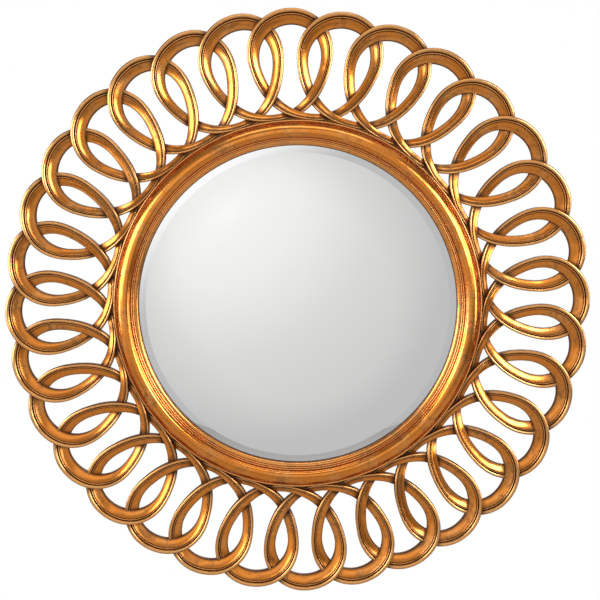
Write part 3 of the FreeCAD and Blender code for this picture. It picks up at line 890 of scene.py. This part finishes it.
@dataclass
class Backing:
    """What closes the back: soft sheet, fibre board, steel points and rubber pads."""

    board: float = 266.0
    board_back: float = 2.0
    board_front: float = 6.0
    pad_circle: float = 280.0
    pad: float = 8.0

    def board_disc(self) -> None:
        """Makes and dresses the board, turned, with its edges eased."""
        soft = 0.5
        profile = np.array([
            (60.0, self.board_back), (180.0, self.board_back), (self.board - soft, self.board_back),
            (self.board - 0.15, self.board_back + 0.15), (self.board, self.board_back + soft),
            (self.board, self.board_front - soft), (self.board - soft, self.board_front),
            (180.0, self.board_front), (60.0, self.board_front)])
        made = turned(profile, 288, poles=True).build("fibre_board")
        BOARD.dress(made)
        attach(made, "frame")
        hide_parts("backing_board")

    def pads(self) -> list[bpy.types.Object]:
        """Makes and dresses the moulded pads, with a rounded rim and a shallow dish.

        Returns:
            The four pads.
        """
        top, rim = BACK_Y, self.pad
        profile = np.array([
            (1.5, top + 0.25), (3.6, top + 0.2), (rim - 2.6, top), (rim - 1.4, top + 0.12),
            (rim - 0.5, top + 0.6), (rim - 0.1, top + 1.5), (rim, top + 3.0), (rim, -0.35),
            (rim - 0.2, -0.1), (rim - 0.8, -0.05), (3.6, -0.05), (1.5, -0.05)])
        made = []
        for number in range(4):
            angle = math.radians(45.0 + 90.0 * number)
            centre = (self.pad_circle * math.sin(angle), self.pad_circle * math.cos(angle))
            pad = turned(profile, 48, poles=True, centre=centre).build(f"wall_pad_{number + 1}")
            RUBBER.dress(pad)
            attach(pad, "frame")
            made.append(pad)
        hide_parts("wall_bumpers")
        return made

    def build(self) -> None:
        """Makes the board and pads, and dresses the CAD's own sheet and points."""
        self.board_disc()
        pads = self.pads()
        FELT.dress(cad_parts["glass_packing"])
        POINT_STEEL.dress(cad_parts["board_points"])
        LOG.info("back: board, %d pads, sheet and points", len(pads))


class Side(Enum):
    """Which hanger, by the side that it is on as seen from the front."""

    LEFT = -1
    RIGHT = 1


@dataclass
class Hanger:
    """A strap on the back of the ring, with two screws and a D-shaped wire ring."""

    side: Side
    offset: float = 273.5
    hinge_height: float = 70.0
    hinge_depth: float = -2.93
    wire: float = 1.25
    half_width: float = 11.25
    corner: float = 2.2
    straight: float = 4.0
    reach: float = 15.3
    screw_drops: tuple[float, float] = (24.0, 36.0)
    head: float = 3.5

    def bow(self, count: int = 220) -> Array:
        """The ring's centre line, from the middle of the bar that goes through the curl.

        It is a rounded D: each corner is a quarter circle and the bow half an ellipse.

        Args:
            count: points along it, evenly spaced.

        Returns:
            The points, as (across, up) from the hinge.
        """
        corner, side, fall, half = self.corner, self.straight, self.reach, self.half_width
        quarter = np.linspace(0.0, math.pi / 2.0, 12)
        turn = np.linspace(0.0, math.pi, 80)
        right = np.stack([half - corner + corner * np.sin(quarter),
                          -corner + corner * np.cos(quarter)], axis=-1)
        bow = np.stack([half * np.cos(turn), -side - (fall - side) * np.sin(turn)], axis=-1)
        left = right[::-1] * [-1.0, 1.0]
        path = np.concatenate([[[-2.0, 0.0], [2.0, 0.0]], right, bow, left])
        length = np.concatenate([[0.0], np.cumsum(np.linalg.norm(
            np.diff(np.concatenate([path, path[:1]]), axis=0), axis=1))])
        even = np.linspace(0.0, length[-1], count, endpoint=False)
        closed = np.concatenate([path, path[:1]])
        return np.stack([np.interp(even, length, closed[:, axis]) for axis in (0, 1)], axis=-1)

    def ring(self) -> None:
        """Makes and dresses the wire ring: a circle of the wire's radius carried round the bow."""
        path = self.bow()
        run = np.roll(path, -1, axis=0) - np.roll(path, 1, axis=0)
        run /= np.linalg.norm(run, axis=1)[:, None]
        out = np.stack([run[:, 1], -run[:, 0]], axis=-1)
        around = np.linspace(0.0, 2.0 * math.pi, 20, endpoint=False)
        flat = path[:, None] + out[:, None] * (self.wire * np.cos(around))[None, :, None]
        depth = self.hinge_depth + self.wire * np.sin(around)[None] + 0.0 * path[:, :1]
        name = self.side.name.lower()
        grid = placed(self.side.value * self.offset + flat[..., 0],
                      self.hinge_height + flat[..., 1], depth)
        ring = Skin(grid, loop_along=True).build(f"wire_ring_{name}")
        PLATED.dress(ring)
        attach(ring, f"ring_{name}")
        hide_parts(f"hanger_ring_{name}")

    def screw_head(self, number: int) -> bpy.types.Object:
        """A screw's domed head, whose height falls with the square of the radius.

        Its cross recess is full depth within the arms and eases to nothing at their edges.

        Args:
            number: 0 for the upper screw and 1 for the lower one.

        Returns:
            The head.
        """
        reach = np.linspace(0.12, self.head, 30)
        dome = np.stack([reach, -1.7 - 1.75 * (1.0 - (reach / self.head) ** 2)], axis=-1)
        under = [[self.head, -1.35], [self.head - 0.1, -1.25], [1.0, -1.25]]
        profile = np.concatenate([dome, under])
        centre = (self.side.value * self.offset, self.hinge_height - self.screw_drops[number])
        skin = turned(profile, 72, poles=True, centre=centre)
        plan = np.abs(skin.grid[:len(reach), :, ::2] * 1000.0 - centre)
        narrow, far = plan.min(-1), plan.max(-1)
        arms = np.clip((0.5 - narrow) / 0.12, 0.0, 1.0) * np.clip((1.9 - far) / 0.5, 0.0, 1.0)
        skin.grid[:len(reach), :, 1] -= 1.1 * arms / 1000.0
        head = skin.build(f"screw_head_{self.side.name.lower()}_{number + 1}")
        PLATED.dress(head)
        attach(head, "frame")
        return head

    def build(self) -> None:
        """Makes the ring and the screws' heads, and dresses the CAD's strap."""
        self.ring()
        name = self.side.name.lower()
        heads = [self.screw_head(number) for number in range(len(self.screw_drops))]
        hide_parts(f"hanger_screws_{name}")
        PLATED.dress(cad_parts[f"hanger_strap_{name}"])
        LOG.info("hanger %s: ring, strap and screws", name)


# ---------------------------------------------------------------- studio and camera

@dataclass(frozen=True)
class Lamp:
    """A soft rectangular lamp that faces the mirror: place and size in metres, power in watts."""

    name: str
    place: tuple[float, float, float]
    size: tuple[float, float]
    power: float

    def build(self) -> None:
        """Hangs the lamp."""
        data = bpy.data.lights.new(self.name, "AREA")
        data.shape = "RECTANGLE"
        data.size, data.size_y = self.size
        data.energy = self.power
        lamp = bpy.data.objects.new(self.name, data)
        lamp.rotation_euler = (-Vector(self.place)).to_track_quat("-Z", "Y").to_euler()
        lamp.location = self.place
        bpy.context.scene.collection.objects.link(lamp)


@dataclass
class Studio:
    """A pale floor, a surround that is white to the camera, and soft lamps."""

    floor_height: float = -1.25
    floor_radius: float = 3.0
    floor_colour: Colour = (0.38, 0.375, 0.37)
    fill: Colour = (0.62, 0.62, 0.62)
    screen_way: tuple[float, float, float] = (-0.067, -0.9977, -0.011)
    lamps: tuple[Lamp, ...] = (
        Lamp("overhead", (0.0, -1.0, 2.1), (2.0, 0.7), 8.0),
        Lamp("front_left", (-2.46, -1.92, 0.6), (1.7, 1.6), 36.0),
        Lamp("front_right", (2.06, -2.28, 0.84), (1.3, 1.2), 44.0),
        Lamp("side_left", (-2.2, -0.8, 0.3), (0.6, 1.4), 14.0),
        Lamp("side_right", (2.2, -0.8, 0.3), (0.6, 1.4), 14.0),
        Lamp("behind", (0.8, 2.2, 1.6), (1.6, 1.2), 26.0),
    )

    def floor(self) -> None:
        """A pale disc under the mirror, white to the camera as the surround is."""
        turn = np.linspace(0.0, 2.0 * math.pi, 96, endpoint=False)
        rim = self.floor_radius
        points = np.stack([rim * np.sin(turn), rim * np.cos(turn),
                           np.full(len(turn), self.floor_height)], axis=-1)
        mesh = bpy.data.meshes.new("floor")
        mesh.from_pydata(points[::-1].tolist(), [], [list(range(len(turn)))])
        made = bpy.data.objects.new("floor", mesh)
        bpy.context.scene.collection.objects.link(made)
        material = bpy.data.materials.new("pale_floor")
        material.use_nodes = True
        graph = Graph(material.node_tree)
        seen = graph.node("ShaderNodeLightPath", output="Is Camera Ray")
        pale = graph.node("ShaderNodeBsdfDiffuse", None, {"Color": self.floor_colour})
        white = graph.node("ShaderNodeEmission", None, {"Color": WHITE, "Strength": 1.0})
        mixed = graph.node("ShaderNodeMixShader", None, {0: seen, 1: pale, 2: white})
        graph.node("ShaderNodeOutputMaterial", None, {"Surface": mixed})
        mesh.materials.append(material)

    def surround(self) -> None:
        """The world: white to the camera, and a soft studio to everything else.

        Gloss sees a pale screen behind the camera that fades outwards from a point at its left, a
        brighter band above and to the left, and a darker part behind and below.
        """
        world = bpy.data.worlds.new("studio")
        bpy.context.scene.world = world
        world.use_nodes = True
        graph = Graph(world.node_tree)
        way = graph.node("ShaderNodeTexCoord", output="Generated")
        along = graph.node("ShaderNodeVectorMath", {"operation": "DOT_PRODUCT"},
                           {0: way, 1: self.screen_way}, "Value")
        angle = graph.node("ShaderNodeMath", {"operation": "ARCCOSINE"}, {0: along})
        screen = graph.node("ShaderNodeValToRGB", {"stops": [
            (0.0, (0.99, 0.99, 0.985)), (0.07, (0.89, 0.89, 0.885)), (0.13, (0.725, 0.725, 0.72)),
            (0.24, (0.55, 0.55, 0.55)), (0.45, (0.50, 0.505, 0.51)), (0.6, (0.29, 0.29, 0.29)),
            (0.9, (0.15, 0.15, 0.15))]},
            {0: angle})
        side = graph.node("ShaderNodeSeparateXYZ", None, {0: way}, "X")
        height = graph.node("ShaderNodeSeparateXYZ", None, {0: way}, "Z")
        tilt = (height - side * 0.8).clamped()
        ceiling = tilt.between(0.1, 0.36) * (1.0 - tilt.between(0.4, 0.62) * 0.8) * 0.5
        band = graph.blend(ceiling, BLACK, WHITE)
        gloss = graph.node("ShaderNodeMix", {"data_type": "RGBA", "blend_type": "ADD"},
                           {0: 1.0, 6: screen, 7: band}, 2)
        seen = graph.node("ShaderNodeLightPath", output="Is Camera Ray")
        glossy = (graph.node("ShaderNodeLightPath", output="Is Glossy Ray")
                  + graph.node("ShaderNodeLightPath", output="Is Transmission Ray")).clamped()
        fill = graph.blend(glossy, self.fill, gloss)
        colour = graph.blend(seen, fill, WHITE)
        background = graph.node("ShaderNodeBackground", None, {"Color": colour, "Strength": 1.0})
        graph.node("ShaderNodeOutputWorld", None, {"Surface": background})

    def build(self) -> None:
        """Sets up the floor, the surround and the lamps."""
        self.floor()
        self.surround()
        for lamp in self.lamps:
            lamp.build()
        LOG.info("studio: floor, surround and %d lamps", len(self.lamps))


@dataclass
class PhotoCamera:
    """The photograph's camera: square on, from a little above."""

    distance: float = 2.0
    elevation: float = 5.6
    target: tuple[float, float, float] = (0.0, -0.0215, 0.0)
    lens: float = 78.3
    shift: tuple[float, float] = (0.00367, 0.00928)

    def build(self) -> None:
        """Makes it the scene's camera."""
        data = bpy.data.cameras.new("photo_camera")
        data.lens, data.sensor_width = self.lens, 36.0
        data.shift_x, data.shift_y = self.shift
        data.clip_start, data.clip_end = 0.05, 60.0
        camera = bpy.data.objects.new("photo_camera", data)
        rise = math.radians(self.elevation)
        back = Vector((0.0, -math.cos(rise), math.sin(rise)))
        camera.location = Vector(self.target) + back * self.distance
        camera.rotation_euler = (-back).to_track_quat("-Z", "Y").to_euler()
        bpy.context.scene.collection.objects.link(camera)
        bpy.context.scene.camera = camera


def corners(box: tuple[Any, Any]) -> list[list[float]]:
    """A box's two corners as plain lists of numbers."""
    return [[float(part) for part in corner] for corner in box]


def main() -> None:
    """Builds the mirror, the studio and the camera."""
    logging.basicConfig(level=logging.INFO, format="%(name)s: %(message)s")
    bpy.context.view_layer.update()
    bpy.context.scene.view_settings.view_transform = "Standard"
    Fret().build()
    RingMoulding().build()
    Plate().build()
    Backing().build()
    for side in Side:
        Hanger(side).build()
    Studio().build()
    PhotoCamera().build()


if __name__ == "__main__":
    main()
